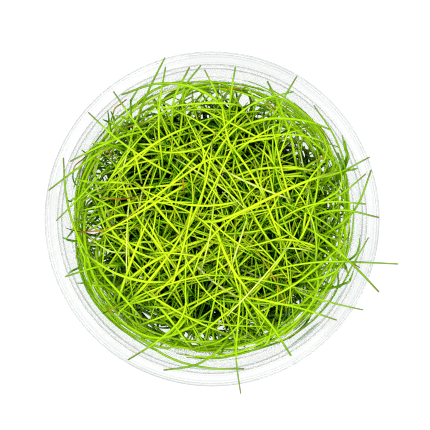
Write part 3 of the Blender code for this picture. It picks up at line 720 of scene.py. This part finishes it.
for node in tufts:
    # Leaders: one culm along each lock of the CAD tuft.
    leaders = np.array([smooth(line, STATIONS) for line in locks[node]])
    is_pale = np.array([is_one_of(PALE_TIPS, line[-1]) for line in leaders])
    is_thick = np.array([is_one_of(THICK_TIPS, line[-1]) for line in leaders])
    lead_tone = np.clip(rng.uniform(*LEADER_TONES, len(leaders)) + THICK_LIGHTER * is_thick, 0, 1)
    lead_radius = rng.uniform(*LEADER_RADII, len(leaders)) - PALE_THINNER * is_pale
    lead_radius = np.where(is_thick, THICK_RADIUS, lead_radius) * MM

    # Free culms: at all heights, most ending short of the wall and the others sliding along it.
    crown = crowns[node]
    from_axis = np.hypot(crown[0], crown[1])
    here = NEAR_WALL if from_axis > WALL_TUFT_FROM else FAR_OFF
    free = here["free"]
    lowest, highest = FREE_CEILINGS
    ceilings = rng.triangular(lowest, here["ceiling"], highest, free) * MM
    ending = rng.random(free) < here["ending"]
    inside, at_wall = rng.uniform(*FREE_LIMITS, free), WALL_LIMIT - rng.exponential(1.0, free)
    limits = np.where(ending, inside, at_wall) * MM
    limits = np.minimum(limits, LIMIT_FROM + ceilings * LIMIT_WIDENS)
    lengths, leans = rng.uniform(*FREE_LENGTHS, free) * MM, rng.uniform(*FREE_LEANS, free)
    free_lines = grown(crown, lengths, ceilings, leans, limits, ending)
    free_tone = rng.beta(*FREE_TONE_BETA, free)
    free_radius = rng.uniform(*here["radii"], free) * MM
    free_pale = np.where(rng.random(free) < PALE_SHARE, rng.uniform(*PALE_AMOUNTS, free), 0.0)
    free_dry = np.where(rng.random(free) < DRY_SHARE, rng.uniform(*DRY_AMOUNTS, free), 0.0)

    # Low culms: short ones that fill the depths and stay off the wall.
    low = here["low"]
    ceilings, leans = rng.uniform(*LOW_CEILINGS, low) * MM, rng.uniform(*LOW_LEANS, low)
    limits = np.maximum(rng.uniform(*LOW_LIMITS, low) * MM, from_axis + LOW_BEYOND_CROWN)
    lengths, ending = rng.uniform(*LOW_LENGTHS, low) * MM, np.full(low, True)
    low_lines = grown(crown, lengths, ceilings, leans, limits, ending)
    # The low culms' tones are painted light and shade: lighter near the wall, lit from the sides,
    # and dark in the middle, the shade of the depths.
    low_tone = rng.uniform(0.0, here["tone"], low)
    low_radius = rng.uniform(*LOW_RADII, low) * MM
    low_dry = np.where(rng.random(low) < LOW_DRY_SHARE, rng.uniform(*LOW_DRY_AMOUNTS, low), 0.0)

    # The culms on routes, and the crown as a short thick tube.
    routed_lines = np.array([line for line, _ in routed[node]]).reshape(-1, STATIONS, 3)
    dead = np.array([is_dead for _, is_dead in routed[node]])
    routed_radius = np.where(dead, DEAD_RADIUS, SHORT_RADIUS) * MM
    stem_foot, stem_top = (*crown[:2], CROWN_FOOT), (*crown[:2], CROWN_TOP)
    stem = np.linspace(stem_foot, stem_top, STATIONS)[None]
    share = np.linspace(0, 1, STATIONS)
    stem_radii = np.interp(share, STEM_PLACES, STEM_RADII)[None] * MM

    lines = np.concatenate([leaders, free_lines, low_lines, routed_lines, stem])
    radii = np.concatenate(
        [
            tapered(lead_radius, LEADER_TIP_SHARE),
            tapered(free_radius),
            tapered(low_radius),
            tapered(routed_radius),
            stem_radii,
        ]
    )
    marks = {
        "tone": [lead_tone, free_tone, low_tone, np.full(len(dead), ROUTED_TONE)],
        "pale": [is_pale * PALE_LEADER, free_pale, np.zeros(low + len(dead))],
        "dry": [np.zeros(len(leaders)), free_dry, low_dry, dead],
    }
    marks = {key: np.concatenate([*each, [STEM_MARKS[key]]]) for key, each in marks.items()}
    culms = tubes(node.replace("tuft", "culms"), lines, radii, marks)
    culms.data.materials.append(culm_material)
    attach(culms, "root")
    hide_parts(node)

# Stage: a plain white table that glows evenly like a light table, under a white sky that is a
# little darker at the horizon. The ground stays white up to the cup, and its clear edges show.
TABLE_SIZE = 6.0
TABLE_BELOW = 0.02 * MM
TABLE_GREYS = ((0.12, 0.12, 0.12, 1.0), (0.14, 0.14, 0.14, 1.0))
TABLE_GLOW = 0.95
SKY_GLOW = 0.95
SKY_GREYS = ((0.0, (0.90, 0.91, 0.92, 1.0)), (0.45, (1.0, 1.0, 1.0, 1.0)))
bpy.ops.mesh.primitive_plane_add(size=TABLE_SIZE, location=(0, 0, -TABLE_BELOW))
table = bpy.context.object
table.name = "table_top"
paper = Finish("white_table")
where = paper.node("ShaderNodeTexCoord", out="Object")
grain = paper.node("ShaderNodeTexNoise", None, {"Vector": where, "Scale": 300.0, "Detail": 2.0})
table.data.materials.append(
    paper.surface(
        Base_Color=paper.mixed(grain, *TABLE_GREYS),
        Roughness=0.7,
        Specular_IOR_Level=0.1,
        Emission_Color=(1.0, 1.0, 1.0, 1.0),
        Emission_Strength=TABLE_GLOW,
    )
)

world = bpy.data.worlds.new("studio")
world.use_nodes = True
bpy.context.scene.world = world
sky = world.node_tree
direction = sky.nodes.new("ShaderNodeTexCoord")
split = sky.nodes.new("ShaderNodeSeparateXYZ")
shade = sky.nodes.new("ShaderNodeValToRGB")
for stop, (place, grey) in zip(shade.color_ramp.elements, SKY_GREYS):
    stop.position, stop.color = place, grey
sky.links.new(direction.outputs["Generated"], split.inputs[0])
sky.links.new(split.outputs["Z"], shade.inputs["Fac"])
sky.links.new(shade.outputs["Color"], sky.nodes["Background"].inputs["Color"])
sky.nodes["Background"].inputs["Strength"].default_value = SKY_GLOW

# Lamps: four square soft boxes a metre up that face the cup, the one at the top left the strongest.
LAMP_SIZE = 0.45
AIM = (0, 0, 0.03)
LAMPS = (
    ("key", (-0.35, 0.35, 1.0), 1.9),
    ("right", (0.45, 0.2, 1.0), 1.1),
    ("front", (0.05, -0.45, 1.0), 1.1),
    ("left", (-0.45, -0.25, 1.0), 1.1),
)


def lamp(name, place, power):
    """A soft box turned to face the cup: by the angle from straight up to its direction, and then
    by the direction's own angle round the axis."""
    light = bpy.data.lights.new(name, "AREA")
    light.shape, light.size, light.energy = "SQUARE", LAMP_SIZE, power
    made = bpy.data.objects.new(name, light)
    made.location = place
    away = np.array(place) - AIM
    polar = math.acos(away[2] / np.linalg.norm(away))
    made.rotation_euler = (0.0, polar, math.atan2(away[1], away[0]))
    bpy.context.scene.collection.objects.link(made)


for name, place, power in LAMPS:
    lamp(name, place, power)

# Camera: straight down over the middle of the picture, a metre above the rim. The width of the
# picture is measured at the height of the rim.
PICTURE_MIDDLE = (0.78 * MM, 1.05 * MM)
PICTURE_WIDTH = 115.24 * MM
CAMERA_ABOVE = 1.0
SENSOR = 36.0
camera = bpy.data.objects.new("camera", bpy.data.cameras.new("camera"))
camera.location = (*PICTURE_MIDDLE, CUP_HEIGHT + CAMERA_ABOVE)
camera.data.sensor_width = SENSOR
camera.data.lens = SENSOR * CAMERA_ABOVE / PICTURE_WIDTH
camera.data.clip_start, camera.data.clip_end = 0.01, 20.0
bpy.context.scene.collection.objects.link(camera)
bpy.context.scene.camera = camera
bpy.context.scene.view_settings.view_transform = "Standard"

# Light runs a long way inside clear walls before it leaves them, so it may bounce often.
paths = bpy.context.scene.cycles
paths.blur_glossy = 0.0
paths.filter_width = 1.1
paths.max_bounces, paths.diffuse_bounces = 40, 3
paths.glossy_bounces, paths.transmission_bounces = 24, 32
